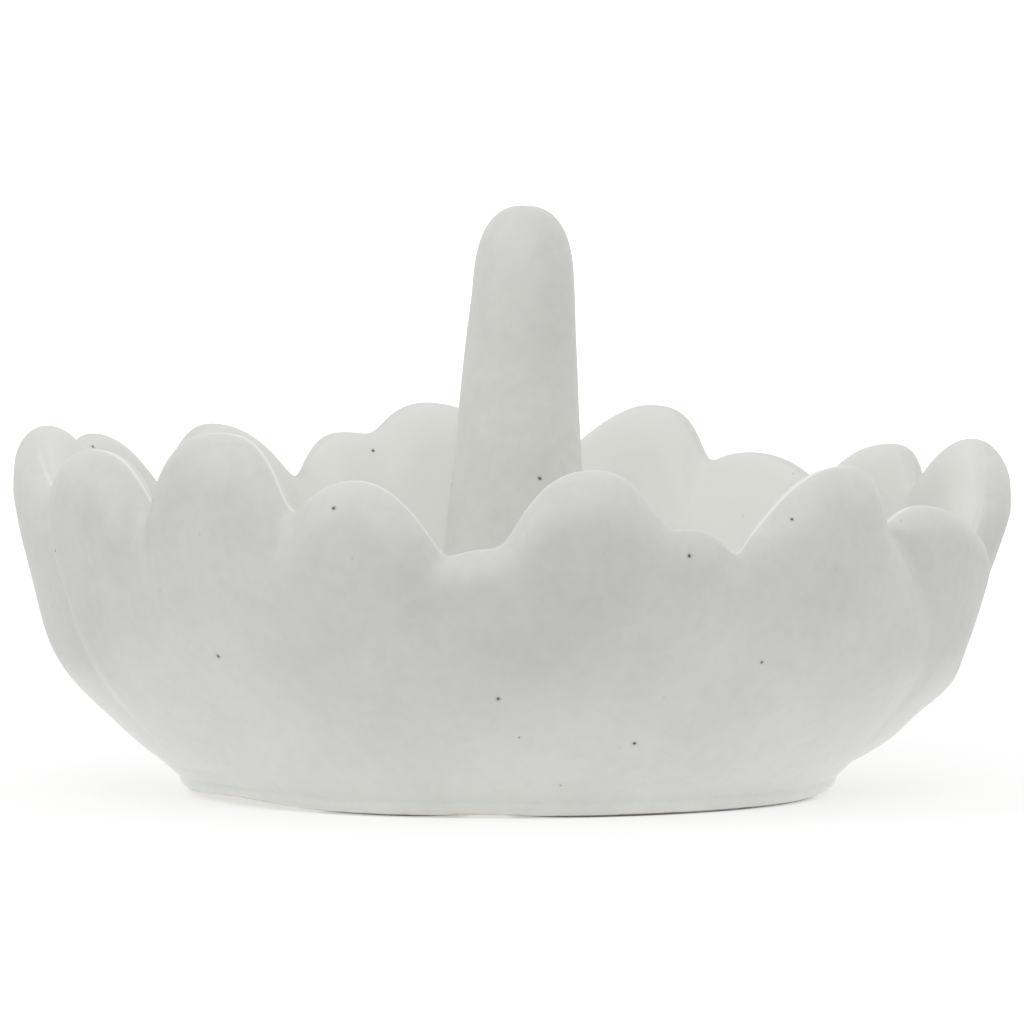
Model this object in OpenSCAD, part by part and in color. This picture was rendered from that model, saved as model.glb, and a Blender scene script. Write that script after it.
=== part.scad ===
// Ring dish: a small hand-built stoneware tray with a petal rim and a leaning ring post.
// The clay pieces are joined wet, face to face: a foot ring, a bowl, sixteen petals, a post.
// Millimetres, +Z up, z = 0 is the table. The azimuth is 0 at the front (-Y) and grows to +X.

/* [Foot ring] */
// Height of the foot ring
foot_h = 3.8; // [2.5:0.1:6]
// Outer radius of the foot ring under the bowl
foot_top_r = 39.8; // [38:0.1:41]
// Outer radius of the foot ring just above its lower edge
foot_low_r = 37.8; // [35:0.1:38]
// Roundness of the lower outer edge
foot_edge = 1.8; // [0.5:0.1:2]
// Width of the flat face that the dish stands on
foot_face_w = 3.4; // [2:0.1:6]
// Distance that the foot ring sits off the middle, towards -X
foot_shift = 0.4; // [0:0.1:0.6]

/* [Bowl] */
// Radius at which the curve of the wall starts, level with the underside
base_r = 40.2; // [39:0.1:42]
// Thickness of the floor
floor_t = 4.4; // [3:0.1:6]
// Radius of the flat floor inside
floor_r = 36; // [30:0.5:38]
// Height above the underside at which the petals are joined on
seam_h = 10.2; // [9:0.1:12]
// Thickness of the wall at that seam
seam_t = 7.8; // [6:0.1:8.2]

/* [Wall] */
// Outer radius of the wall at shoulder height
wall_r = 57.2; // [54:0.1:60]
// Height of that shoulder above the underside
shoulder_h = 32.2; // [28:0.1:36]
// Thickness of the wall under the lowest places of the rim
valley_t = 5; // [4:0.1:6]
// Thickness of the wall under the highest petal
tip_t = 7.4; // [5:0.1:8.5]

/* [Petals] */
// Mean height of the rim above the underside
rim_h = 31.2; // [28:0.1:36]
// Rise of the rim for one unit of height in the rim table
rim_unit = 1; // [0.5:0.05:1.15]
// Depth of one unit of crease between two petals
crease_unit = 1; // [0.3:0.05:1.1]
// Width of a crease, in degrees to each side
crease_w = 10; // [6:0.5:12]

/* [Ring post] */
// Length of the post from the floor to its tip
post_l = 59.3; // [45:0.1:75]
// Radius of the post at the floor, without its fillet
post_base_r = 9.6; // [7.5:0.1:11]
// Radius that the post would taper to without its round tip
post_tip_r = 5.2; // [4:0.1:7]
// Length of the round tip
post_tip_l = 10; // [6:0.1:14]
// Radius of the clay fillet round the foot of the post
post_fillet = 2.5; // [1:0.1:4]
// Lean of the post towards +X, in degrees
post_lean = 1.8; // [0:0.1:5]
// Distance that the foot of the post sits off the middle, towards -X
post_shift = 0.3; // [0:0.1:2]

/* [Hidden] */
glaze = "#D0D1CC";
foot_glaze = "#CBCBC4";

// The rim, row by row round the dish: azimuth, height over the mean rim, roundness of the
// stretch that follows, lean outwards, crease depth (0 where petals don't part), drift of the
// row towards the foot (deg), the crease's length down the wall, and the lap: 1 where this
// petal's start lies under the one before, -1 where it lies over it.
// Heights and leans are in rim units, depths in crease units
RIM = [
    [-72, -2.0, 2.4, 0.2, 2.4, 5, 30, -1],
    [-61.5, 5.8, 3.0, 0, 0, 2, 0, 0],
    [-48.8, -1.0, 3.0, 0, 1.8, 1, 11, -0.5],
    [-37, 8.75, 2.9, 0, 0, 0, 0, 0],
    [-27.5, -0.6, 2.2, 0, 1.0, -3, 9, 0],
    [-19, 4.0, 2.0, 0, 0, -2, 0, 0],
    [-8.2, -4.7, 1.6, 0, 1.0, -2, 16, 0],
    [-3, -3.6, 2.0, 0, 0, -1, 0, 0],
    [-1, -3.5, 2.4, 0, 0, 0, 0, 0],
    [9.8, 5.2, 2.4, 0, 0, 0, 0, 0],
    [18.6, -1.9, 2.4, 0, 0.6, 0, 14, 0],
    [22, -1.7, 2.2, 0, 0, 0, 0, 0],
    [28, -5.6, 2.2, 0, 1.4, 2, 20, 0],
    [44, 4.8, 2.6, 0, 0, 5, 0, 0],
    [52, -3.5, 2.2, -0.6, 2.4, 14, 30, 1],
    [59, -0.2, 1.9, 0, 0, 12, 0, 0],
    [83, -9.5, 2.2, 0, 2.4, 5, 32, 1],
    [102, 4.9, 2.3, 0.5, 0, 0, 0, 0],
    [117.5, -2.4, 2.6, 0, 1.6, 0, 16, 0],
    [124, 3.3, 2.4, 0, 0, 0, 0, 0],
    [137, -2.4, 2.1, 0, 1.2, 0, 14, 0],
    [148.3, 1.3, 2.2, 0, 0, 0, 0, 0],
    [154.5, -0.4, 3.4, 0, 1.0, 0, 12, 0],
    [163.2, 6.5, 1.6, 0, 0, 0, 0, 0],
    [177, -3.0, 2.4, 0, 1.4, 0, 14, 0],
    [190.8, 6.8, 2.1, 0, 0, 0, 0, 0],
    [197.8, 2.9, 2.2, 0, 1.0, 0, 10, 0],
    [202.2, 3.4, 2.2, 0, 0, 0, 0, 0],
    [208.8, -2.6, 2.4, 0, 1.4, 0, 14, 0],
    [221.5, 5.2, 1.8, 0, 0, 0, 0, 0],
    [230.4, -3.4, 2.2, 0, 1.4, 0, 14, 0],
    [245, 5.0, 2.2, 0, 0, 0, 0, 0],
    [250.5, 3.2, 2.4, 0, 1.8, 0, 16, 0],
    [261, 6.6, 1.7, 0.4, 0, 0, 0, 0]
];

// Hand-pressed swells and hollows of the outside, in swell units:
// azimuth, height above the underside, amount, half width (deg), half height
swell_unit = 1;
SWELLS = [
    [85, 9.2, 0.7, 16, 2.5],
    [88, 5.2, -0.4, 16, 1.5],
    [95, 18.2, -0.4, 20, 5],
    [95, 29.5, 0.85, 16, 5],
    [56, 14.2, 1.4, 12, 6],
    [32.5, 18.5, -0.9, 4, 6],
    [268, 20.2, -0.6, 22, 6],
    [270, 5.0, -0.8, 34, 4],
    [84, 15.5, -0.7, 12, 7],
    [-30, 27.5, -0.4, 5, 4],
    [-57, 31, 0.35, 2.5, 2.5],
    [-53.5, 27.5, 0.35, 2.5, 2.5],
    [-47.5, 27, -0.5, 3, 4]
];

rim_count = len(RIM);
rim_start = RIM[0][0];
rim_low = min([for (row = RIM) row[1]]);
rim_high = max([for (row = RIM) row[1]]);
// How much of the wall's flare is a curve at the sides and behind (the rest is a straight
// lean), and how sharp the curve is there and in front
side_curve = 0.8;
back_curve = 0.5;
side_power = 3.5;
front_power = 2;
// Below this height over the underside the wall is drawn to the foot ring, and the bowl
// reaches past the ring's top edge by the margin
foot_blend_h = 3;
seat_margin = 0.2;
// Rows drift towards the foot below the second height, and all the way at the first
fade_h = 4.2;
straight_h = 28.2;
// The rim and its creases are averaged over these angles, as a wet sponge rounds them
sponge = 1.3;
crease_sponge = 1.2;
// How fast a crease gets shallow: sideways, on a side that lies under, and down the wall,
// and its share on the inside
crease_power = 2.2;
lapped_power = 1.5;
relief_power = 1.4;
inner_crease = 0.35;
lean_power = 1.3;
// Height of the edge's rounding in the valleys and at the tips, its limit and its fullness,
// and how far the ridge of the petals in front lies towards the inside
edge_valley = 3.2;
edge_tip = 6.5;
edge_limit = 8;
edge_round = 2.1;
front_ridge = 1.25;
// Fullness of the post's round tip, along it and across
post_tip_power = 3.4;
post_tip_blunt = 0.42;
// Grid: widest column in degrees, rows on the petals, in the edge, and on the bowl
column_step = 2.5;
petal_rows = 6;
edge_rows = 7;
bowl_rows = 5;
bowl_spacing = 1.3;
tip_rings = 10;
floor_z = foot_h + floor_t;

petal_rims = [for (i = [0:rim_count - 1]) if (RIM[i][4] > 0) i];
petal_count = len(petal_rims);

function petal_name(k) = str("petal_", k < 9 ? "0" : "", k + 1);

// Row i of the rim, counted on round the dish past the last row
function rim_row(i) = RIM[i % rim_count];
function rim_azimuth(i) = rim_row(i)[0] + 360 * floor(i / rim_count);
// The azimuth a brought into the turn that starts at the first row
function in_turn(a) = a - 360 * floor((a - rim_start) / 360);
// The row that the azimuth a follows
function row_before(a, i = 0) = a < rim_azimuth(i + 1) ? i : row_before(a, i + 1);
// Signed angle from azimuth b to azimuth a, between -180 and 180
function turn(a, b) = a - b - 360 * round((a - b) / 360);
function clamp(v) = max(0, min(1, v));
function ease(f) = (1 - cos(180 * f)) / 2;
function mix(p, q, f) = p + (q - p) * f;

// Weighted mean of the function of over the angle reach
function sponged(of, a, reach) =
    (of(a - reach) + 2 * of(a - reach / 2) + 2 * of(a) + 2 * of(a + reach / 2) + of(a + reach)) / 8;

// Height, outward lean and drift of the rim at azimuth a, before the edge is sponged
raw_rim = function (a)
    let (t = in_turn(a), i = row_before(t), p = rim_row(i), q = rim_row(i + 1))
    let (f = (t - rim_azimuth(i)) / (rim_azimuth(i + 1) - rim_azimuth(i)))
    let (low = min(p[1], q[1]), high = max(p[1], q[1]), s = p[1] < q[1] ? 1 - f : f)
    [rim_unit * (low + (high - low) * (1 - pow(clamp(s), p[2]))),
        rim_unit * mix(p[3], q[3], ease(f)),
        mix(p[5], q[5], ease(f))];
function rim_at(a) = sponged(raw_rim, a, sponge);

// Depth and length at azimuth a of the crease at one rim row. It is wider on the side of the
// petal that lies under its neighbour
function crease_of(row, a) =
    let (away = turn(a, row[0]), under = sign(away) * row[7])
    let (left = clamp(1 - abs(away) / (crease_w * (1 + 0.5 * under))))
    [crease_unit * row[4] * pow(left, under > 0 ? lapped_power : crease_power), row[6]];
// Depth and length of the deepest crease at azimuth a
raw_crease = function (a)
    let (creases = [for (i = petal_rims) crease_of(RIM[i], a)])
    let (depth = max([for (c = creases) c[0]]))
    [for (c = creases) if (c[0] == depth) c][0];

// Outer radius of the wall at azimuth a and height h above the underside, and its slope
// outwards: the wall is round at the sides, fuller in front and straighter behind
function wall_radius(a, h) =
    let (t = h / shoulder_h, facing = cos(a))
    let (round_wall = 1 - pow(1 - clamp(t), side_power))
    let (front_wall = 1 - pow(1 - clamp(t), front_power))
    let (wall = mix(t, round_wall, mix(side_curve, back_curve, pow(facing, 2))))
    base_r + (wall_r - base_r) * mix(wall, front_wall, pow(max(facing, 0), 2));
function wall_slope(a, h) = wall_radius(a, h + 0.5) - wall_radius(a, h - 0.5);

function total(v, i = 0) = i < len(v) ? v[i] + total(v, i + 1) : 0;
function swell(a, h) = swell_unit * total([for (s = SWELLS)
    s[2] * exp(-pow(turn(a, s[0]) / s[3], 2) - pow((h / swell_unit - s[1]) / s[4], 2))]);

// One column of the dish: rim azimuth, rim height, lean, drift, crease depth, crease length,
// height of the edge's rounding, and thickness of the wall under it
function column(a) =
    let (rim = rim_at(a), crease = sponged(raw_crease, a, crease_sponge))
    let (fall = (rim_at(a + 0.5)[0] - rim_at(a - 0.5)[0]) / (wall_r * PI / 180))
    let (share = clamp((rim[0] / rim_unit - rim_low) / (rim_high - rim_low)))
    let (edge = mix(edge_valley, edge_tip, share) * sqrt(1 + fall * fall))
    [a, rim_h + rim[0], rim[1], rim[2], crease[0], crease[1], min(edge, edge_limit),
        mix(valley_t, tip_t, share)];

// Share of column c's crease, and of the foot ring's shape, that the wall takes at height h
function relief(c, h) = pow(clamp(1 - (c[1] - h) / c[5]), relief_power);
function foot_share(h) = pow(clamp(1 - h / foot_blend_h), 2);

function outer_radius(c, h) =
    wall_radius(c[0], h) + swell(c[0], h) - c[4] * relief(c, h)
        + c[2] * pow(max(0, (h - seam_h) / (c[1] - seam_h)), lean_power)
        + (foot_top_r + seat_margin - base_r) * foot_share(h);
function inner_radius(c, h) =
    let (across = mix(seam_t, c[7], clamp((h - seam_h) / (rim_h - seam_h))))
    outer_radius(c, h) + (1 + inner_crease) * c[4] * relief(c, h) - swell(c[0], h) / 2
        - across * sqrt(1 + pow(wall_slope(c[0], h), 2));
function place(c, r, h) =
    let (straight = clamp((h - fade_h) / (straight_h - fade_h)))
    let (u = c[0] + c[3] * (1 - straight * straight))
    [r * sin(u) - foot_shift * foot_share(h), -r * cos(u), foot_h + h];

// Point of column c's rounded edge at angle t: 0 is outside, 180 inside
function edge_point(c, t) =
    let (h = c[1] - c[6] + c[6] * pow(sin(t), 2 / edge_round))
    let (side = sign(cos(t)) * pow(abs(cos(t)), 2 / edge_round))
    let (across = pow((1 + side) / 2, mix(1, front_ridge, clamp(2 * cos(c[0])))))
    place(c, mix(inner_radius(c, h), outer_radius(c, h), across), h);

// The petal's side of a column: up the outside, over the edge and down the inside
function petal_column(c) =
    let (top = c[1] - c[6])
    concat(
        [for (i = [0:petal_rows]) let (h = mix(seam_h, top, i / petal_rows)) place(c, outer_radius(c, h), h)],
        [for (i = [1:edge_rows - 1]) edge_point(c, 180 * i / edge_rows)],
        [for (i = [0:petal_rows]) let (h = mix(top, seam_h, i / petal_rows)) place(c, inner_radius(c, h), h)]
    );

// The bowl's side of a column: up the outside, across the seam and down to the floor
function bowl_column(c) =
    concat(
        [for (i = [0:bowl_rows]) let (h = seam_h * pow(i / bowl_rows, bowl_spacing))
            place(c, outer_radius(c, h), h)],
        [for (i = [0:bowl_rows]) let (t = 90 * i / bowl_rows)
            place(c, mix(floor_r, inner_radius(c, seam_h), cos(t)), mix(seam_h, floor_t, sin(t)))]
    );

// Columns of petal k, with its first and last crease
function petal_last(k) = k + 1 < petal_count ? petal_rims[k + 1] : rim_count;
function petal_columns(k) = concat(
    [for (i = [petal_rims[k]:petal_last(k) - 1])
        let (a = rim_azimuth(i), b = rim_azimuth(i + 1), n = ceil((b - a) / column_step))
        for (j = [0:n - 1]) column(mix(a, b, j / n))],
    [column(rim_azimuth(petal_last(k)))]
);
PETALS = [for (k = [0:petal_count - 1]) petal_columns(k)];
RING = [for (p = PETALS) for (j = [0:len(p) - 2]) p[j]];

// Two triangles for the corners p, q, r, s in clockwise order seen from outside
function quad(p, q, r, s) = [[p, q, r], [p, r, s]];

// Closes columns of n points: from column j to the next, rows 0 to n - 1
function skin(columns, n, closed_section, wrap) = [
    for (j = [0:columns - (wrap ? 1 : 2)])
        let (a = j * n, b = ((j + 1) % columns) * n)
        for (i = [0:closed_section ? n - 1 : n - 2])
            let (m = (i + 1) % n)
            for (f = quad(a + i, a + m, b + m, b + i)) f
];

// Cap of one column of n points, where n is even, paired outside to inside
function cap(first, n) = [
    for (i = [0:n / 2 - 2])
        for (f = quad(first + i, first + i + 1, first + n - 2 - i, first + n - 1 - i)) f
];
function flipped(faces) = [for (f = faces) [f[2], f[1], f[0]]];

module petal(k) {
    columns = [for (c = PETALS[k]) petal_column(c)];
    n = len(columns[0]);
    last = (len(columns) - 1) * n;
    color(glaze)
        polyhedron(
            points = [for (c = columns) for (p = c) p],
            faces = concat(skin(len(columns), n, true, false), flipped(cap(0, n)), cap(last, n))
        );
}

module bowl() {
    columns = [for (c = RING) bowl_column(c)];
    n = len(columns[0]);
    count = len(columns);
    color(glaze)
        polyhedron(
            points = [for (c = columns) for (p = c) p],
            faces = concat(
                skin(count, n, false, true),
                [[for (j = [0:count - 1]) j * n]],
                [[for (j = [count - 1:-1:0]) j * n + n - 1]]
            )
        );
}

module foot_ring() {
    edge_r = foot_low_r - foot_edge;
    inner_r = edge_r - foot_face_w;
    color(foot_glaze)
        translate([-foot_shift, 0, 0])
            rotate_extrude($fn = 180)
                polygon(concat(
                    [[inner_r, 0]],
                    [for (t = [0:30:90]) [edge_r + foot_edge * sin(t), foot_edge * (1 - cos(t))]],
                    [[foot_top_r, foot_h], [inner_r - foot_edge, foot_h], [inner_r - foot_edge, foot_edge]]
                ));
}

// Radius of the post at length l above the floor: a straight taper with a full, round tip
function post_radius(l) =
    let (below = clamp((post_l - l) / post_tip_l))
    mix(post_base_r, post_tip_r, l / post_l) * pow(1 - pow(1 - below, post_tip_power), post_tip_blunt);

module ring_post() {
    // The post starts this far under the floor, and is cut off level with it
    root = 2;
    reach = post_l + post_base_r;
    color(glaze)
        intersection() {
            translate([-post_shift, 0, floor_z])
                rotate([0, post_lean, 0])
                    rotate_extrude($fn = 96)
                        polygon(concat(
                            [[0, -root], [post_base_r + post_fillet, -root]],
                            [for (t = [0:30:90]) let (l = post_fillet * (1 - cos(t)))
                                [post_radius(l) + post_fillet * (1 - sin(t)), l]],
                            [for (i = [0:tip_rings - 1])
                                let (l = post_l - post_tip_l * pow(1 - i / tip_rings, 3)) [post_radius(l), l]],
                            [[0, post_l]]
                        ));
            translate([-reach, -reach, floor_z])
                cube(2 * reach);
        }
}

foot_ring();
bowl();
ring_post();
for (k = [0:petal_count - 1])
    petal(k);
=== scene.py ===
"""Ring dish: the glazed surface that is seen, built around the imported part, with its studio.

Every CAD solid gets its own fine mesh here: the bowl, each petal, the post and the foot ring.
The shapes follow the same sizes and formulas as the part. Lengths in the tables are millimetres.
"""

import math
import random

import bpy
import numpy as np
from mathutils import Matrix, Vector, noise


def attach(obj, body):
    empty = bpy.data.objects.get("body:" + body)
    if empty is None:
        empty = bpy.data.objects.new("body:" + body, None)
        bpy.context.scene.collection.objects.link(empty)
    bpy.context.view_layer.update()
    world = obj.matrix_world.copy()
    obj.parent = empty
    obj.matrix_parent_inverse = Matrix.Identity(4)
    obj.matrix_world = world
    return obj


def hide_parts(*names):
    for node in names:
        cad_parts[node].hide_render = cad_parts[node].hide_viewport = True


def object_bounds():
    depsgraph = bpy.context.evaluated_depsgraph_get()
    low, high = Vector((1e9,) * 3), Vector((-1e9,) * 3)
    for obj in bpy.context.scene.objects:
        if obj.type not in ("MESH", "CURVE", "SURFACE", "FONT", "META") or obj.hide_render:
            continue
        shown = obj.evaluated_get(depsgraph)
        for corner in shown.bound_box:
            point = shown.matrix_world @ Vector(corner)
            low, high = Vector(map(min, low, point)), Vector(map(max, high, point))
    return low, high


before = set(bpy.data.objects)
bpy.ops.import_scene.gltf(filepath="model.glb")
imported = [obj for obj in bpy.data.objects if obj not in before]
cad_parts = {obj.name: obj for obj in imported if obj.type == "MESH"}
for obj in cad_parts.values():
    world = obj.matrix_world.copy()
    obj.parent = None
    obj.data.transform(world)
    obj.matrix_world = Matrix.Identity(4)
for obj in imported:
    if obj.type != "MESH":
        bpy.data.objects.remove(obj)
cad_low, cad_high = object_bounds()

MM = 0.001

# Sizes of the part
FOOT_H = 3.8
FOOT_TOP_R = 39.8
FOOT_LOW_R = 37.8
FOOT_EDGE = 1.8
FOOT_FACE_W = 3.4
FOOT_SHIFT = 0.4
BASE_R = 40.2
FLOOR_T = 4.4
FLOOR_R = 36.0
SEAM_H = 10.2
WALL_R = 57.2
SHOULDER_H = 32.2
SEAM_T = 7.8
VALLEY_T = 5.0
TIP_T = 7.4
RIM_H = 31.2
POST_L = 59.3
POST_BASE_R = 9.6
POST_TIP_R = 5.2
POST_TIP_L = 10.0
POST_TIP_POWER = 3.4
POST_TIP_BLUNT = 0.42
POST_FILLET = 2.5
POST_LEAN = 1.8
POST_SHIFT = 0.3
FLOOR_Z = FOOT_H + FLOOR_T

# The rim, row by row: azimuth, height over the mean rim, roundness of the stretch that follows,
# lean outwards, crease depth (0 where petals don't part), drift towards the foot in degrees,
# the crease's length down the wall, and the lap: 1 where this petal's start lies under the one
# before, -1 where it lies over it
RIM = [
    (-72, -2.0, 2.4, 0.2, 2.4, 5, 30, -1),
    (-61.5, 5.8, 3.0, 0, 0, 2, 0, 0),
    (-48.8, -1.0, 3.0, 0, 1.8, 1, 11, -0.5),
    (-37, 8.75, 2.9, 0, 0, 0, 0, 0),
    (-27.5, -0.6, 2.2, 0, 1.0, -3, 9, 0),
    (-19, 4.0, 2.0, 0, 0, -2, 0, 0),
    (-8.2, -4.7, 1.6, 0, 1.0, -2, 16, 0),
    (-3, -3.6, 2.0, 0, 0, -1, 0, 0),
    (-1, -3.5, 2.4, 0, 0, 0, 0, 0),
    (9.8, 5.2, 2.4, 0, 0, 0, 0, 0),
    (18.6, -1.9, 2.4, 0, 0.6, 0, 14, 0),
    (22, -1.7, 2.2, 0, 0, 0, 0, 0),
    (28, -5.6, 2.2, 0, 1.4, 2, 20, 0),
    (44, 4.8, 2.6, 0, 0, 5, 0, 0),
    (52, -3.5, 2.2, -0.6, 2.4, 14, 30, 1),
    (59, -0.2, 1.9, 0, 0, 12, 0, 0),
    (83, -9.5, 2.2, 0, 2.4, 5, 32, 1),
    (102, 4.9, 2.3, 0.5, 0, 0, 0, 0),
    (117.5, -2.4, 2.6, 0, 1.6, 0, 16, 0),
    (124, 3.3, 2.4, 0, 0, 0, 0, 0),
    (137, -2.4, 2.1, 0, 1.2, 0, 14, 0),
    (148.3, 1.3, 2.2, 0, 0, 0, 0, 0),
    (154.5, -0.4, 3.4, 0, 1.0, 0, 12, 0),
    (163.2, 6.5, 1.6, 0, 0, 0, 0, 0),
    (177, -3.0, 2.4, 0, 1.4, 0, 14, 0),
    (190.8, 6.8, 2.1, 0, 0, 0, 0, 0),
    (197.8, 2.9, 2.2, 0, 1.0, 0, 10, 0),
    (202.2, 3.4, 2.2, 0, 0, 0, 0, 0),
    (208.8, -2.6, 2.4, 0, 1.4, 0, 14, 0),
    (221.5, 5.2, 1.8, 0, 0, 0, 0, 0),
    (230.4, -3.4, 2.2, 0, 1.4, 0, 14, 0),
    (245, 5.0, 2.2, 0, 0, 0, 0, 0),
    (250.5, 3.2, 2.4, 0, 1.8, 0, 16, 0),
    (261, 6.6, 1.7, 0.4, 0, 0, 0, 0),
]

# Hand-pressed swells and hollows of the outside:
# azimuth, height above the underside, amount, half width in degrees, half height
SWELLS = [
    (85, 9.2, 0.7, 16, 2.5),
    (88, 5.2, -0.4, 16, 1.5),
    (95, 18.2, -0.4, 20, 5),
    (95, 29.5, 0.85, 16, 5),
    (56, 14.2, 1.4, 12, 6),
    (32.5, 18.5, -0.9, 4, 6),
    (268, 20.2, -0.6, 22, 6),
    (270, 5.0, -0.8, 34, 4),
    (84, 15.5, -0.7, 12, 7),
    (-30, 27.5, -0.4, 5, 4),
    (-57, 31, 0.35, 2.5, 2.5),
    (-53.5, 27.5, 0.35, 2.5, 2.5),
    (-47.5, 27, -0.5, 3, 4),
]

# Places where the standing face doesn't quite reach the table:
# azimuth, lift of the lower edge, half width in degrees
FOOT_LIFTS = [(-64, 0.95, 26), (-3, 0.35, 9), (75, 0.4, 18)]

# Shape constants of the wall, the creases and the rim's edge
SIDE_CURVE = 0.8
BACK_CURVE = 0.5
SIDE_POWER = 3.5
FRONT_POWER = 2.0
FADE_H = 4.2
STRAIGHT_H = 28.2
SPONGE = 1.3
CREASE_SPONGE = 1.2
CREASE_W = 10.0
CREASE_POWER = 2.2
LAPPED_POWER = 1.5
RELIEF_POWER = 1.4
INNER_CREASE = 0.35
LEAN_POWER = 1.3
EDGE_VALLEY = 3.2
EDGE_TIP = 6.5
EDGE_LIMIT = 8.0
FRONT_RIDGE = 1.25
EDGE_ROUND = 2.1
FOOT_BLEND_H = 3.0

# Grid: widest column in degrees, and the number of rows in each part of the profile
COLUMN_STEP = 0.5
FOOT_EDGE_ROWS = 8
FOOT_FACE_ROWS = 4
FOOT_SIDE_ROWS = 8
UNDERSIDE_ROWS = 6
BOWL_ROWS = 20
BOWL_SPACING = 1.3
PETAL_ROWS = 40
EDGE_ROWS = 32
COVE_ROWS = 16
FLOOR_ROWS = 16
HUB_R = 4.0

rim = np.array(RIM)
rim_start = rim[0, 0]
rim_edges = np.append(rim[:, 0], rim_start + 360)
rim_wrapped = np.vstack([rim, rim[:1]])
rim_count = len(RIM)
petal_rims = [i for i in range(rim_count) if RIM[i][4] > 0]


def clamp(v):
    return np.clip(v, 0.0, 1.0)


def mix(p, q, f):
    return p + (q - p) * f


def ease(f):
    return (1 - np.cos(np.pi * f)) / 2


def raw_rim(a):
    """Height, outward lean and drift of the rim at the azimuths a, before the edge is sponged."""
    t = rim_start + (a - rim_start) % 360
    i = np.searchsorted(rim_edges, t, side="right") - 1
    p = rim_wrapped[i].T
    q = rim_wrapped[i + 1].T
    f = (t - rim_edges[i]) / (rim_edges[i + 1] - rim_edges[i])
    low = np.minimum(p[1], q[1])
    high = np.maximum(p[1], q[1])
    s = np.where(p[1] < q[1], 1 - f, f)
    height = low + (high - low) * (1 - clamp(s) ** p[2])
    return np.array([height, mix(p[3], q[3], ease(f)), mix(p[5], q[5], ease(f))])


def sponged(of, a, reach):
    """Weighted mean of the function over the angle reach, as a wet sponge rounds an edge."""
    steps = ((-1, 1), (-0.5, 2), (0, 2), (0.5, 2), (1, 1))
    return sum(weight * of(a + step * reach) for step, weight in steps) / 8


def rim_at(a):
    return sponged(raw_rim, a, SPONGE)


def petal_span(k):
    """First and last rim row of petal k. The last one may lie past the table's end."""
    last = petal_rims[k + 1] if k + 1 < len(petal_rims) else rim_count
    return petal_rims[k], last


def turn(a, b):
    """Signed angle from azimuth b to azimuth a, between -180 and 180 degrees."""
    return (a - b + 180) % 360 - 180


def raw_crease(a):
    """Depth and length of the deepest crease at the azimuths a.

    A crease is wider on the side of the petal that lies under its neighbour.
    """
    depth = np.zeros_like(a)
    length = np.full_like(a, RIM[0][6])
    for row in RIM:
        away = turn(a, row[0])
        under = np.sign(away) * row[7]
        left = clamp(1 - np.abs(away) / (CREASE_W * (1 + 0.5 * under)))
        pressed = row[4] * left ** np.where(under > 0, LAPPED_POWER, CREASE_POWER)
        length = np.where(pressed > depth, row[6], length)
        depth = np.maximum(pressed, depth)
    return np.array([depth, length])


def wall_radius(h):
    """Outer radius of each column at the height h: rounder in front, straighter behind."""
    t = h / SHOULDER_H
    round_wall = 1 - (1 - clamp(t)) ** SIDE_POWER
    front_wall = 1 - (1 - clamp(t)) ** FRONT_POWER
    facing = np.cos(np.radians(azimuths))
    share = mix(SIDE_CURVE, BACK_CURVE, facing**2)
    wall = mix(mix(t, round_wall, share), front_wall, np.maximum(facing, 0) ** 2)
    return BASE_R + (WALL_R - BASE_R) * wall


def wall_slope(h):
    return wall_radius(h + 0.5) - wall_radius(h - 0.5)


def swell(a, h):
    return sum(
        amount * np.exp(-((turn(a, at) / wide) ** 2) - ((h - up) / tall) ** 2)
        for at, up, amount, wide, tall in SWELLS
    )


# The columns of the dish: every rim row gets one, and more lie evenly between them
azimuths = []
petal_columns = []
for k in range(len(petal_rims)):
    first, last = petal_span(k)
    started = len(azimuths)
    for i in range(first, last):
        steps = math.ceil((rim_edges[i + 1] - rim_edges[i]) / COLUMN_STEP)
        azimuths.extend(mix(rim_edges[i], rim_edges[i + 1], j / steps) for j in range(steps))
    petal_columns.append((started, len(azimuths)))
azimuths = np.array(azimuths)
column_count = len(azimuths)

rim_rise, lean, drift = rim_at(azimuths)
rim_top = RIM_H + rim_rise
crease, crease_length = sponged(raw_crease, azimuths, CREASE_SPONGE)
fall = (rim_at(azimuths + 0.5)[0] - rim_at(azimuths - 0.5)[0]) / math.radians(WALL_R)
high_share = clamp((rim_rise - rim[:, 1].min()) / (rim[:, 1].max() - rim[:, 1].min()))
edge_h = mix(EDGE_VALLEY, EDGE_TIP, high_share) * np.sqrt(1 + fall**2)
edge_h = np.minimum(edge_h, EDGE_LIMIT)
edge_base = rim_top - edge_h


def relief(h):
    return clamp(1 - (rim_top - h) / crease_length) ** RELIEF_POWER


def foot_share(h):
    """How much the low wall follows the foot ring at the height h: all at 0, nothing higher up."""
    return clamp(1 - h / FOOT_BLEND_H) ** 2


def outer_radius(h):
    leaning = np.maximum(0, (h - SEAM_H) / (rim_top - SEAM_H)) ** LEAN_POWER
    drawn_in = (FOOT_TOP_R - BASE_R) * foot_share(h)
    return wall_radius(h) + swell(azimuths, h) - crease * relief(h) + lean * leaning + drawn_in


def inner_radius(h):
    top_t = mix(VALLEY_T, TIP_T, high_share)
    across = mix(SEAM_T, top_t, clamp((h - SEAM_H) / (RIM_H - SEAM_H)))
    thickness = across * np.sqrt(1 + wall_slope(h) ** 2)
    filled = (1 + INNER_CREASE) * crease * relief(h) - swell(azimuths, h) / 2
    return outer_radius(h) + filled - thickness


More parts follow.
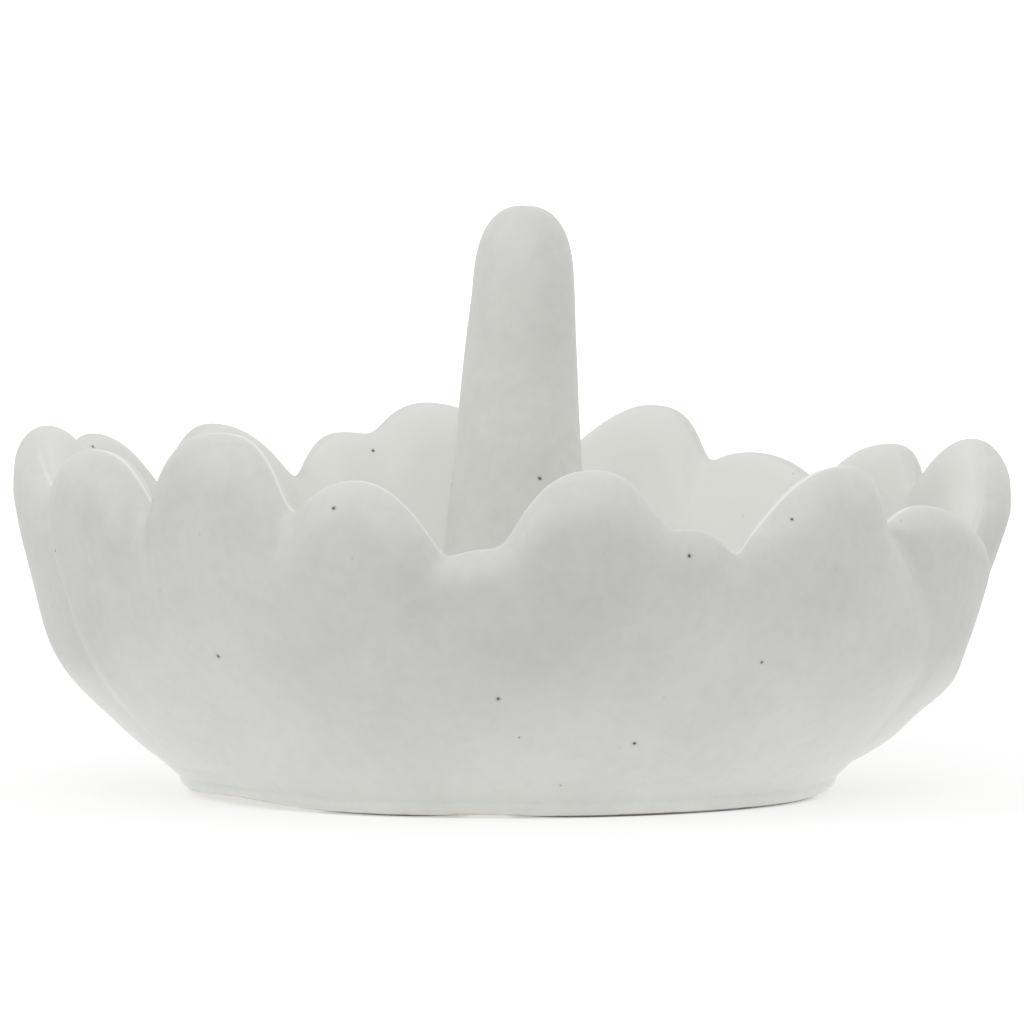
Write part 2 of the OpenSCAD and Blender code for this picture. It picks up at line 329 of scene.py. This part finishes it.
def placed(r, h):
    """Points of one row of the profile, one for each column."""
    h = np.broadcast_to(h, azimuths.shape)
    straight = clamp((h - FADE_H) / (STRAIGHT_H - FADE_H))
    u = np.radians(azimuths + drift * (1 - straight**2))
    x = r * np.sin(u) - FOOT_SHIFT * foot_share(h)
    return np.stack([x, -r * np.cos(u), FOOT_H + h], axis=1)


# The profile, from the foot ring's inside down, up outside, over the rim, down and to the post
edge_r = FOOT_LOW_R - FOOT_EDGE
face_r = edge_r - FOOT_FACE_W
foot_rows = [(face_r - FOOT_EDGE, FOOT_H), (face_r - FOOT_EDGE, mix(FOOT_EDGE, FOOT_H, 0.5))]
for i in range(FOOT_EDGE_ROWS):
    t = math.pi / 2 * i / FOOT_EDGE_ROWS
    foot_rows.append((face_r - FOOT_EDGE * math.cos(t), FOOT_EDGE * (1 - math.sin(t))))
for i in range(FOOT_FACE_ROWS):
    foot_rows.append((mix(face_r, edge_r, i / FOOT_FACE_ROWS), 0))
face_end = len(foot_rows)
for i in range(FOOT_EDGE_ROWS):
    t = math.pi / 2 * i / FOOT_EDGE_ROWS
    foot_rows.append((edge_r + FOOT_EDGE * math.sin(t), FOOT_EDGE * (1 - math.cos(t))))
for i in range(FOOT_SIDE_ROWS):
    f = i / FOOT_SIDE_ROWS
    foot_rows.append((mix(FOOT_LOW_R, FOOT_TOP_R, f), mix(FOOT_EDGE, FOOT_H, f)))
foot_lift = sum(
    lift * np.exp(-((turn(azimuths, at) / wide) ** 2)) for at, lift, wide in FOOT_LIFTS
)
rows = []
for r, z in foot_rows:
    row = placed(r, z - FOOT_H)
    row[:, 2] += foot_lift * (1 - z / FOOT_H)
    rows.append(row)
foot_end = len(rows)
for i in range(BOWL_ROWS):
    h = SEAM_H * (i / BOWL_ROWS) ** BOWL_SPACING
    rows.append(placed(outer_radius(h), h))
seam_outside = len(rows)
for i in range(PETAL_ROWS):
    h = mix(SEAM_H, edge_base, i / PETAL_ROWS)
    rows.append(placed(outer_radius(h), h))
# The ridge of the petals in front lies a little nearer to the inside
ridge_power = mix(1, FRONT_RIDGE, clamp(2 * np.cos(np.radians(azimuths))))
for i in range(EDGE_ROWS):
    t = math.pi * i / EDGE_ROWS
    h = edge_base + edge_h * math.sin(t) ** (2 / EDGE_ROUND)
    side = math.copysign(abs(math.cos(t)) ** (2 / EDGE_ROUND), math.cos(t))
    across = ((1 + side) / 2) ** ridge_power
    rows.append(placed(mix(inner_radius(h), outer_radius(h), across), h))
for i in range(PETAL_ROWS + 1):
    h = mix(edge_base, SEAM_H, i / PETAL_ROWS)
    rows.append(placed(inner_radius(h), h))
seam_inside = len(rows) - 1
for i in range(1, COVE_ROWS):
    t = math.pi / 2 * i / COVE_ROWS
    r = mix(FLOOR_R, inner_radius(SEAM_H), math.cos(t))
    rows.append(placed(r, mix(SEAM_H, FLOOR_T, math.sin(t))))
for i in range(FLOOR_ROWS + 1):
    rows.append(placed(mix(FLOOR_R, HUB_R, i / FLOOR_ROWS), FLOOR_T))
body = np.stack(rows, axis=1)


def grid_normals(points):
    """Unit normals of [column, row] points whose columns close into a ring, weighted by area."""
    ahead = np.roll(points, -1, axis=0)
    across = ahead[:, 1:] - points[:, :-1]
    back = points[:, 1:] - ahead[:, :-1]
    quads = np.pad(np.cross(across, back), ((0, 0), (1, 1), (0, 0)))
    total = quads[:, 1:] + quads[:, :-1]
    total = total + np.roll(total, 1, axis=0)
    return total / np.maximum(np.linalg.norm(total, axis=2, keepdims=True), 1e-12)


# Finger marks: waves of a few sizes over the hand-made surface.
# Wavelength in millimetres, height, and the offset into the noise
FINGER_MARKS = [(24, 0.22, 3.1), (11, 0.12, 7.7), (4.5, 0.03, 1.9)]


def marked(points, normals, marks):
    """The points moved in and out by hand-made unevenness."""
    flat = points.reshape(-1, 3)
    height = np.zeros(len(flat))
    for length, amount, offset in marks:
        shift = Vector((offset, offset, offset))
        height += amount * np.array([noise.noise(Vector(p) / length + shift) for p in flat])
    return points + normals * height.reshape(points.shape[:2] + (1,))


# The standing face and the inside of the foot stay as they are
moves = np.ones((1, body.shape[1], 1))
moves[:, : face_end + 1] = 0
moves[:, face_end + 1 : foot_end + 1] = 0.5
body = body + moves * (marked(body, grid_normals(body), FINGER_MARKS) - body)
body_normals = grid_normals(body)


def quads_between(columns, rows, wrap):
    """Faces of a grid of points that run column by column, facing away from the axis."""
    ahead = [(j + 1) % columns for j in range(columns)]
    return [
        (j * rows + i, ahead[j] * rows + i, ahead[j] * rows + i + 1, j * rows + i + 1)
        for j in range(columns if wrap else columns - 1)
        for i in range(rows - 1)
    ]


def shifted(faces, first):
    return [tuple(first + v for v in face) for face in faces]


def add_piece(name, points, normals, seen, hidden, slot, *nodes):
    """One closed mesh. Seen faces are smooth with the given normals, hidden ones are flat."""
    low = np.array(cad_low) / MM
    high = np.array(cad_high) / MM
    mesh = bpy.data.meshes.new(name)
    mesh.from_pydata((np.clip(points, low, high) * MM).tolist(), [], seen + hidden)
    mesh.polygons.foreach_set("use_smooth", [True] * len(seen) + [False] * len(hidden))
    mesh.update()
    corner_normals = [tuple(normals[v]) for face in seen for v in face]
    for face in mesh.polygons[len(seen) :]:
        corner_normals.extend([tuple(face.normal)] * len(face.vertices))
    mesh.normals_split_custom_set(corner_normals)
    piece = bpy.data.objects.new(name, mesh)
    bpy.context.scene.collection.objects.link(piece)
    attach(piece, "root")
    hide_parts(*nodes)
    return piece


def paint(piece, name, values):
    """Keeps one number at each point of the piece, for its material."""
    attribute = piece.data.attributes.new(name, "FLOAT", "POINT")
    attribute.data.foreach_set("value", values)


# A painted highlight runs along the rim's ridge, over this many rows to each side, strongest in
# front. Painted light makes the inside of the dish paler, from this many rows past the ridge
HIGHLIGHT_ROWS = 0.75
HIGHLIGHT_BACK = 0.15
LIT_INSIDE_ROWS = 4
rows = np.arange(body.shape[1])
ridge_row = seam_outside + PETAL_ROWS + EDGE_ROWS // 2
ridge_highlight = np.exp(-(((rows - ridge_row) / HIGHLIGHT_ROWS) ** 2))
front = clamp(2.5 * np.cos(np.radians(azimuths)))
rim_highlight_share = mix(HIGHLIGHT_BACK, 1, front)[:, None] * ridge_highlight
lit_inside_share = clamp((rows - ridge_row) / LIT_INSIDE_ROWS)


def add_bowl():
    """The floor and the low wall: two seen grids, joined under the petals by a hidden ledge."""
    outside = body[:, foot_end : seam_outside + 1]
    inside = body[:, seam_inside:]
    shares = np.linspace(HUB_R / FOOT_TOP_R, 1, UNDERSIDE_ROWS)
    under = np.stack([outside[:, 0] * (f, f, 1) for f in shares], axis=1)
    n_out = outside.shape[1]
    n_in = inside.shape[1]
    n_under = under.shape[1]
    first_in = column_count * n_out
    first_under = first_in + column_count * n_in
    grids = [outside, inside, under]
    points = np.concatenate([grid.reshape(-1, 3) for grid in grids])
    down = np.broadcast_to((0.0, 0.0, -1.0), under.shape)
    normal_grids = [
        body_normals[:, foot_end : seam_outside + 1],
        body_normals[:, seam_inside:],
        down,
    ]
    normals = np.concatenate([grid.reshape(-1, 3) for grid in normal_grids])
    seen = quads_between(column_count, n_out, True)
    seen += shifted(quads_between(column_count, n_in, True), first_in)
    seen += shifted(quads_between(column_count, n_under, True), first_under)
    hidden = []
    for j in range(column_count):
        ahead = (j + 1) % column_count
        hidden.append(
            (
                j * n_out + n_out - 1,
                ahead * n_out + n_out - 1,
                first_in + ahead * n_in,
                first_in + j * n_in,
            )
        )
    hidden.append(tuple(first_under + j * n_under for j in reversed(range(column_count))))
    hidden.append(tuple(first_in + j * n_in + n_in - 1 for j in range(column_count)))
    piece = add_piece("glazed_bowl", points, normals, seen, hidden, "glaze", "bowl")
    # The inside grid is painted paler, as painted light
    paint(piece, "painted_light_inside", np.repeat((0, 1, 0), [g.shape[0] * g.shape[1] for g in grids]))
    return piece


def add_petal(k):
    """One petal: a seen skin, with hidden faces at its creases and on the bowl's ledge."""
    started, ended = petal_columns[k]
    picked = [j % column_count for j in range(started, ended + 1)]
    points = body[picked, seam_outside : seam_inside + 1]
    columns, n = points.shape[:2]
    seen = quads_between(columns, n, False)
    last = (columns - 1) * n
    hidden = [
        ((j + 1) * n, j * n, j * n + n - 1, (j + 1) * n + n - 1) for j in range(columns - 1)
    ]
    for i in range(n // 2):
        low, high = (i, i + 1), (n - 1 - i, n - 2 - i)
        if low[1] == high[1]:
            hidden.append((low[0], low[1], high[0]))
            hidden.append((last + low[0], last + high[0], last + low[1]))
        elif low[1] < high[1]:
            hidden.append((low[0], low[1], high[1], high[0]))
            hidden.append((last + low[0], last + high[0], last + high[1], last + low[1]))
    normals = body_normals[picked, seam_outside : seam_inside + 1].reshape(-1, 3)
    name = f"petal_{k + 1:02d}"
    piece = add_piece(
        "glazed_" + name, points.reshape(-1, 3), normals, seen, hidden, "glaze", name
    )
    # Painted highlight on the rim's ridge
    paint(piece, "painted_rim_highlight", rim_highlight_share[picked, seam_outside : seam_inside + 1].ravel())
    # Painted light: the inside of the petal is painted paler
    paint(piece, "painted_light_inside", np.tile(lit_inside_share[seam_outside : seam_inside + 1], columns))
    return piece


glazed = [add_bowl()] + [add_petal(k) for k in range(len(petal_rims))]


def turned(profile, columns):
    """Grid of [column, row] points: the profile's radii and heights turned round the axis."""
    profile = np.array(profile)
    u = np.radians(np.arange(columns) * 360 / columns)
    r = profile[:, 0][None, :]
    z = np.broadcast_to(profile[:, 1], (columns, len(profile)))
    return np.stack([r * np.sin(u)[:, None], -r * np.cos(u)[:, None], z], axis=2)


def post_radius(l):
    below = clamp((POST_L - l) / POST_TIP_L)
    tip = (1 - (1 - below) ** POST_TIP_POWER) ** POST_TIP_BLUNT
    return mix(POST_BASE_R, POST_TIP_R, l / POST_L) * tip


POST_COLUMNS = 160
POST_ROWS = 90
TIP_ROWS = 24
FILLET_ROWS = 12
POST_MARKS = [(16, 0.15, 5.3), (6, 0.06, 2.2)]
# Height over which the lean fades out at the foot of the post, and how far it sinks in
POST_SEAT = 4
POST_SINK = 0.02


def add_post():
    """The leaning post, whose fillet ends on the dish's floor, and its grid of points."""
    profile = []
    for i in range(FILLET_ROWS):
        t = math.radians(90 * i / FILLET_ROWS)
        l = POST_FILLET * (1 - math.cos(t))
        profile.append((post_radius(l) + POST_FILLET * (1 - math.sin(t)), l))
    for i in range(POST_ROWS):
        l = mix(POST_FILLET, POST_L - POST_TIP_L, i / POST_ROWS)
        profile.append((post_radius(l), l))
    for i in range(TIP_ROWS):
        t = math.radians(90 * i / TIP_ROWS)
        l = POST_L - POST_TIP_L * (1 - math.sin(t))
        profile.append((post_radius(l), l))
    grid = turned(profile, POST_COLUMNS)
    fading = clamp((POST_L - grid[:, :, 2:]) / POST_TIP_L)
    grid = grid + fading * (marked(grid, grid_normals(grid), POST_MARKS) - grid)
    lean_angle = math.radians(POST_LEAN)
    cos, sin = math.cos(lean_angle), math.sin(lean_angle)
    x = grid[:, :, 0] * cos + grid[:, :, 2] * sin - POST_SHIFT
    z = grid[:, :, 2] * cos - grid[:, :, 0] * sin
    z = z - clamp(1 - grid[:, :, 2] / POST_SEAT) * (z[:, :1] + POST_SINK)
    grid = np.stack([x, grid[:, :, 1], FLOOR_Z + z], axis=2)
    n = grid.shape[1]
    seen = quads_between(POST_COLUMNS, n, True)
    tip = tuple(j * n + n - 1 for j in range(POST_COLUMNS))
    foot = tuple(j * n for j in reversed(range(POST_COLUMNS)))
    normals = grid_normals(grid).reshape(-1, 3)
    piece = add_piece(
        "glazed_post", grid.reshape(-1, 3), normals, seen + [tip], [foot], "glaze", "ring_post"
    )
    return piece, grid


# Rows beside the standing face over which the bare clay ends
BARE_ROWS = 5


def add_foot():
    """The foot ring, from its inner top edge down, across the standing face and up outside."""
    grid = body[:, : foot_end + 1]
    normals = body_normals[:, : foot_end + 1].reshape(-1, 3)
    n = grid.shape[1]
    seen = quads_between(column_count, n, True)
    hidden = []
    for j in range(column_count):
        ahead = (j + 1) % column_count
        hidden.append((j * n + n - 1, ahead * n + n - 1, ahead * n, j * n))
    piece = add_piece(
        "glazed_foot", grid.reshape(-1, 3), normals, seen, hidden, "foot", "foot_ring"
    )
    face_start = face_end - FOOT_FACE_ROWS
    away = np.arange(n) - np.clip(np.arange(n), face_start, face_end)
    paint(piece, "bare", np.tile(clamp(1 - np.abs(away) / BARE_ROWS), column_count))
    return piece


post, post_grid = add_post()
glazed.append(post)
foot_piece = add_foot()


def srgb(red, green, blue):
    """Linear colour of an sRGB one given in 0 to 255."""
    channels = [c / 255 for c in (red, green, blue)]
    linear = [c / 12.92 if c <= 0.04045 else ((c + 0.055) / 1.055) ** 2.4 for c in channels]
    return (*linear, 1.0)


class Nodes:
    """Short calls that add and link shader nodes in one tree."""

    def __init__(self, tree):
        self.tree = tree
        tree.nodes.clear()

    def add(self, kind, **settings):
        node = self.tree.nodes.new(kind)
        for key, value in settings.items():
            setattr(node, key, value)
        return node

    def feed(self, node, **inputs):
        for key, value in inputs.items():
            name = int(key[1:]) if key[1:].isdigit() else key.replace("_", " ")
            socket = node.inputs[name]
            if isinstance(value, bpy.types.NodeSocket):
                self.tree.links.new(value, socket)
            else:
                socket.default_value = value
        return node

    def math(self, operation, first, second=0.0):
        node = self.feed(self.add("ShaderNodeMath", operation=operation), _0=first, _1=second)
        return node.outputs[0]

    def vector(self, operation, first, second):
        return self.feed(self.add("ShaderNodeVectorMath", operation=operation), _0=first, _1=second)

    def noise(self, vector, scale, detail=2.0, roughness=0.5):
        node = self.add("ShaderNodeTexNoise")
        self.feed(node, Vector=vector, Scale=scale, Detail=detail, Roughness=roughness)
        return node.outputs["Fac"]

    def ramp(self, value, from_low, from_high, to_low, to_high, smooth=False):
        kind = "SMOOTHSTEP" if smooth else "LINEAR"
        node = self.add("ShaderNodeMapRange", interpolation_type=kind)
        self.feed(node, Value=value, From_Min=from_low, From_Max=from_high)
        self.feed(node, To_Min=to_low, To_Max=to_high)
        return node.outputs[0]

    def blend(self, factor, first, second):
        node = self.add("ShaderNodeMix", data_type="RGBA")
        self.feed(node, _0=factor, _6=first, _7=second)
        return node.outputs[2]


def new_material(name):
    material = bpy.data.materials.new(name)
    material.use_nodes = True
    return material, Nodes(material.node_tree)


GLAZE_THIN = srgb(211, 212, 207)
GLAZE_POOLED = srgb(199, 200, 195)
# Painted highlight colour for the ridge of the rim
RIM_HIGHLIGHT = srgb(235, 235, 231)
# Painted light: a paler colour for the inside of the dish, as if more lit
GLAZE_LIT_INSIDE = srgb(217, 218, 213)
GLAZE_PEPPER = srgb(172, 171, 164)
IRON_HALO = srgb(168, 165, 155)
IRON_CORE = srgb(58, 55, 50)
BARE_CLAY = srgb(206, 199, 186)
BARE_CLAY_DARK = srgb(184, 175, 160)

# Iron specks of the wall: azimuth, height, side (1 is inside), radius in millimetres, and
# faintness, which is 0 for a speck with a dark core and about 1 for one under the glaze
WALL_SPECKS = [
    (-20.6, 36.0, 0, 0.22, 0),
    (-39.0, 18.6, 0, 0.23, 0),
    (-1.6, 14.5, 0, 0.24, 0),
    (-161.1, 36.4, 1, 0.20, 0),
    (-111.5, 38.6, 1, 0.20, 0),
    (1.0, 9.9, 0, 0.17, 0.3),
    (17.6, 9.0, 0, 0.24, 0),
    (7.8, 4.0, 0, 0.15, 0.3),
    (20.4, 30.7, 0, 0.22, 0),
    (32.9, 18.1, 0, 0.19, 0),
    (33.8, 34.3, 0, 0.19, 0.1),
    (-66.8, 29.2, 0, 0.18, 0.2),
    (-18.2, 30.5, 0, 0.20, 0.9),
    (-38.2, 32.6, 0, 0.20, 1.0),
    (20.2, 14.4, 0, 0.22, 1.0),
    (23.9, 7.4, 0, 0.20, 1.1),
    (145.8, 29.2, 1, 0.20, 1.0),
    (54.9, 33.2, 0, 0.20, 0.9),
    (-75.3, 22.3, 0, 0.20, 0.8),
    (30.3, 16.7, 0, 0.18, 1.1),
    (10.5, 31.2, 0, 0.18, 1.2),
    (45.7, 36.3, 0, 0.45, 1.4),
]
# Those of the post: azimuth round the post, height, radius, faintness
POST_SPECKS = [
    (20.8, 36.5, 0.22, 0),
    (-84.0, 35.4, 0.18, 0.2),
]
# The sides that the photograph doesn't show get as many, spread by chance
HIDDEN_SPECKS = 26
HIDDEN_POST_SPECKS = 3


def surface_point(grid, azimuth, z, middle):
    """The point of a grid whose columns rise, at an azimuth round the middle and a height."""
    points = np.array(
        [(np.interp(z, c[:, 2], c[:, 0]), np.interp(z, c[:, 2], c[:, 1]), z) for c in grid]
    )
    away = np.degrees(np.arctan2(points[:, 0] - middle, -points[:, 1]))
    return points[np.argmin(np.abs(turn(away, azimuth)))]


def find_specks():
    """Place, radius and faintness of every speck, in metres."""
    chance = random.Random(11)
    on_wall = list(WALL_SPECKS)
    for _ in range(HIDDEN_SPECKS):
        inside = int(chance.random() < 0.3)
        azimuth = chance.uniform(-75, 75) if inside else chance.uniform(100, 260)
        height = chance.uniform(6, 32)
        on_wall.append((azimuth, height, inside, chance.uniform(0.12, 0.25), chance.uniform(0, 1.2)))
    on_post = list(POST_SPECKS)
    for _ in range(HIDDEN_POST_SPECKS):
        azimuth = chance.uniform(100, 260)
        height = chance.uniform(16, 60)
        on_post.append((azimuth, height, chance.uniform(0.12, 0.22), chance.uniform(0, 1.2)))
    outside = body[:, foot_end : ridge_row + 1]
    inside = body[:, ridge_row : seam_inside + COVE_ROWS][:, ::-1]
    specks = []
    for azimuth, height, side, radius, faint in on_wall:
        point = surface_point(inside if side else outside, azimuth, height, 0)
        specks.append((point * MM, radius * MM, faint))
    for azimuth, height, radius, faint in on_post:
        middle = (height - FLOOR_Z) * math.tan(math.radians(POST_LEAN)) - POST_SHIFT
        point = surface_point(post_grid, azimuth, height, middle)
        specks.append((point * MM, radius * MM, faint))
    return specks


specks = find_specks()


def speck_masks(nodes, place):
    """Masks of the specks' halos and cores: the distance to the nearest one, in its radii."""
    ragged = nodes.add("ShaderNodeTexNoise")
    nodes.feed(ragged, Vector=place, Scale=5000.0, Detail=1.0)
    off = nodes.vector("SUBTRACT", ragged.outputs["Color"], (0.5, 0.5, 0.5)).outputs["Vector"]
    off = nodes.feed(nodes.add("ShaderNodeVectorMath", operation="SCALE"), _0=off, Scale=0.0003)
    place = nodes.vector("ADD", place, off.outputs["Vector"]).outputs["Vector"]
    nearest = 100.0
    for point, radius, faint in specks:
        distance = nodes.vector("DISTANCE", place, tuple(point)).outputs["Value"]
        in_radii = nodes.add("ShaderNodeMath", operation="MULTIPLY_ADD")
        nodes.feed(in_radii, _0=distance, _1=1 / radius, _2=float(faint))
        nearest = nodes.math("MINIMUM", in_radii.outputs[0], nearest)
    halo = nodes.ramp(nearest, 0.9, 2.2, 1.0, 0.0, smooth=True)
    core = nodes.ramp(nearest, 0.5, 1.15, 1.0, 0.0, smooth=True)
    return halo, core


def glaze_colour(nodes, place):
    """Satin glaze: clouds, fine mottling, faint pepper and iron specks. Also gives the clouds."""
    cloud = nodes.noise(place, 80.0, 3.0, 0.55)
    mottle = nodes.noise(place, 700.0, 3.0, 0.6)
    share = nodes.ramp(cloud, 0.33, 0.67, 0.0, 0.65)
    share = nodes.math("ADD", share, nodes.ramp(mottle, 0.3, 0.7, 0.0, 0.35))
    colour = nodes.blend(share, GLAZE_POOLED, GLAZE_THIN)
    # Painted light: the inside of the dish is painted paler
    painted_light_inside = nodes.add("ShaderNodeAttribute", attribute_name="painted_light_inside").outputs["Fac"]
    colour = nodes.blend(nodes.math("MULTIPLY", painted_light_inside, 0.85), colour, GLAZE_LIT_INSIDE)
    # Painted highlight along the ridge of the rim
    painted_rim_highlight = nodes.add("ShaderNodeAttribute", attribute_name="painted_rim_highlight").outputs["Fac"]
    colour = nodes.blend(nodes.math("MULTIPLY", painted_rim_highlight, 0.85), colour, RIM_HIGHLIGHT)
    cells = nodes.add("ShaderNodeTexVoronoi")
    nodes.feed(cells, Vector=place, Scale=330.0)
    near = nodes.ramp(cells.outputs["Distance"], 0.03, 0.09, 1.0, 0.0, smooth=True)
    chance = nodes.add("ShaderNodeSeparateColor")
    nodes.feed(chance, _0=cells.outputs["Color"])
    some = nodes.ramp(chance.outputs[0], 0.8, 1.0, 0.0, 0.5)
    colour = nodes.blend(nodes.math("MULTIPLY", near, some), colour, GLAZE_PEPPER)
    halo, core = speck_masks(nodes, place)
    colour = nodes.blend(nodes.math("MULTIPLY", halo, 0.5), colour, IRON_HALO)
    return nodes.blend(core, colour, IRON_CORE), cloud


def finish_material(nodes, place, colour, roughness, bump_height, bump_strength):
    shader = nodes.add("ShaderNodeBsdfPrincipled")
    bump = nodes.add("ShaderNodeBump")
    nodes.feed(bump, Strength=bump_strength, Distance=0.0001, Height=bump_height)
    nodes.feed(shader, Base_Color=colour, Roughness=roughness, IOR=1.5, Normal=bump.outputs[0])
    out = nodes.add("ShaderNodeOutputMaterial")
    nodes.feed(out, Surface=shader.outputs[0])


def glaze_material():
    material, nodes = new_material("satin_glaze")
    place = nodes.add("ShaderNodeTexCoord").outputs["Object"]
    colour, cloud = glaze_colour(nodes, place)
    roughness = nodes.ramp(cloud, 0.3, 0.7, 0.44, 0.54)
    grain = nodes.noise(place, 1600.0, 2.0)
    finish_material(nodes, place, colour, roughness, grain, 0.15)
    return material


def foot_material():
    """The same glaze on the foot's sides, wiped back to bare clay on the standing face."""
    material, nodes = new_material("foot_glaze")
    place = nodes.add("ShaderNodeTexCoord").outputs["Object"]
    colour, cloud = glaze_colour(nodes, place)
    clay_noise = nodes.noise(place, 900.0, 4.0, 0.7)
    clay = nodes.blend(nodes.ramp(clay_noise, 0.35, 0.65, 0.0, 1.0), BARE_CLAY_DARK, BARE_CLAY)
    wiped = nodes.add("ShaderNodeAttribute", attribute_name="bare").outputs["Fac"]
    edge = nodes.ramp(nodes.noise(place, 260.0, 3.0), 0.3, 0.7, -0.25, 0.25)
    bare = nodes.ramp(nodes.math("ADD", wiped, edge), 0.45, 0.6, 0.0, 1.0, smooth=True)
    colour = nodes.blend(bare, colour, clay)
    roughness = nodes.ramp(bare, 0.0, 1.0, 0.49, 0.85)
    finish_material(nodes, place, colour, roughness, clay_noise, 0.2)
    return material


glaze = glaze_material()
for piece in glazed:
    piece.data.materials.append(glaze)
foot_piece.data.materials.append(foot_material())


# The studio: a pale floor, a soft light from all round, and softboxes
FLOOR_SIZE = 30.0
FLOOR_SHADE = 0.5
FLOOR_LIFT = 0.53
FLOOR_LIFT_FAR = 0.82


def add_floor():
    half = FLOOR_SIZE / 2
    mesh = bpy.data.meshes.new("studio_floor")
    corners = [(-half, -half, 0), (half, -half, 0), (half, half, 0), (-half, half, 0)]
    mesh.from_pydata(corners, [], [(0, 1, 2, 3)])
    floor = bpy.data.objects.new("studio_floor", mesh)
    bpy.context.scene.collection.objects.link(floor)
    material, nodes = new_material("studio_floor")
    shade = (FLOOR_SHADE, FLOOR_SHADE, FLOOR_SHADE, 1.0)
    diffuse = nodes.feed(nodes.add("ShaderNodeBsdfDiffuse"), Color=shade)
    path = nodes.add("ShaderNodeLightPath")
    seen = nodes.math("MAXIMUM", path.outputs["Is Camera Ray"], path.outputs["Is Glossy Ray"])
    seen = nodes.math("MAXIMUM", seen, path.outputs["Is Transmission Ray"])
    place = nodes.add("ShaderNodeTexCoord").outputs["Object"]
    far = nodes.feed(nodes.add("ShaderNodeVectorMath", operation="LENGTH"), _0=place)
    amount = nodes.ramp(far.outputs["Value"], 0.12, 0.8, FLOOR_LIFT, FLOOR_LIFT_FAR)
    lift = nodes.feed(
        nodes.add("ShaderNodeEmission"),
        Color=(1.0, 1.0, 1.0, 1.0),
        Strength=nodes.math("MULTIPLY", seen, amount),
    )
    both = nodes.feed(nodes.add("ShaderNodeAddShader"), _0=diffuse.outputs[0], _1=lift.outputs[0])
    out = nodes.add("ShaderNodeOutputMaterial")
    nodes.feed(out, Surface=both.outputs[0])
    mesh.materials.append(material)


add_floor()


def set_world():
    world = bpy.data.worlds.new("studio")
    world.use_nodes = True
    bpy.context.scene.world = world
    nodes = Nodes(world.node_tree)
    path = nodes.add("ShaderNodeLightPath")
    seen = nodes.math("MAXIMUM", path.outputs["Is Camera Ray"], path.outputs["Is Glossy Ray"])
    seen = nodes.math("MAXIMUM", seen, path.outputs["Is Transmission Ray"])
    # The soft light is a little stronger from the right, the back and below
    direction = nodes.add("ShaderNodeTexCoord").outputs["Generated"]
    slope = nodes.add("ShaderNodeVectorMath", operation="DOT_PRODUCT")
    nodes.feed(slope, _0=direction, _1=(0.126, 0.367, -0.244))
    strength = nodes.math("ADD", slope.outputs["Value"], 1.02)
    soft = nodes.feed(nodes.add("ShaderNodeBackground"), Strength=strength)
    soft.inputs["Color"].default_value = (1.0, 1.0, 1.0, 1.0)
    white = nodes.feed(nodes.add("ShaderNodeBackground"), Strength=1.0)
    white.inputs["Color"].default_value = (1.0, 1.0, 1.0, 1.0)
    both = nodes.feed(
        nodes.add("ShaderNodeMixShader"), _0=seen, _1=soft.outputs[0], _2=white.outputs[0]
    )
    nodes.feed(nodes.add("ShaderNodeOutputWorld"), Surface=both.outputs[0])


set_world()


def add_softbox(name, place, size, power, aim=(0, 0, 0.03)):
    """An area lamp, width and height size, that faces the dish, or the point aim."""
    lamp = bpy.data.lights.new(name, "AREA")
    lamp.shape = "RECTANGLE"
    lamp.size, lamp.size_y = size
    lamp.energy = power
    box = bpy.data.objects.new(name, lamp)
    box.location = place
    facing = Vector(aim) - Vector(place)
    box.rotation_euler = facing.to_track_quat("-Z", "Y").to_euler()
    box.visible_camera = False
    bpy.context.scene.collection.objects.link(box)


add_softbox("softbox_front", (0, -0.8, 0.55), (0.5, 0.5), 1.85)
add_softbox("softbox_left", (-0.75, -0.35, 0.5), (0.4, 0.4), 1.7)
add_softbox("softbox_right", (0.75, -0.35, 0.5), (0.4, 0.4), 0.52)
add_softbox("softbox_back_left", (-0.6, 0.6, 0.4), (0.4, 0.4), 0.12)
add_softbox("softbox_back_right", (0.6, 0.6, 0.4), (0.4, 0.4), 0.04)
add_softbox("softbox_table", (0, 0, 0.0002), (0.135, 0.135), 0.0305, (0, 0, 1))

# The camera stands 1.52 m in front of the post, a little above the dish, behind a long lens
camera_data = bpy.data.cameras.new("camera")
camera_data.sensor_width = 36.0
camera_data.lens = 465.6
camera_data.clip_end = 100.0
camera = bpy.data.objects.new("camera", camera_data)
camera.location = (0.0, -1.52, 0.129)
aim = Vector((0, 0, 0.0322)) - camera.location
camera.rotation_euler = aim.to_track_quat("-Z", "Y").to_euler()
bpy.context.scene.collection.objects.link(camera)
bpy.context.scene.camera = camera
bpy.context.scene.view_settings.view_transform = "Standard"
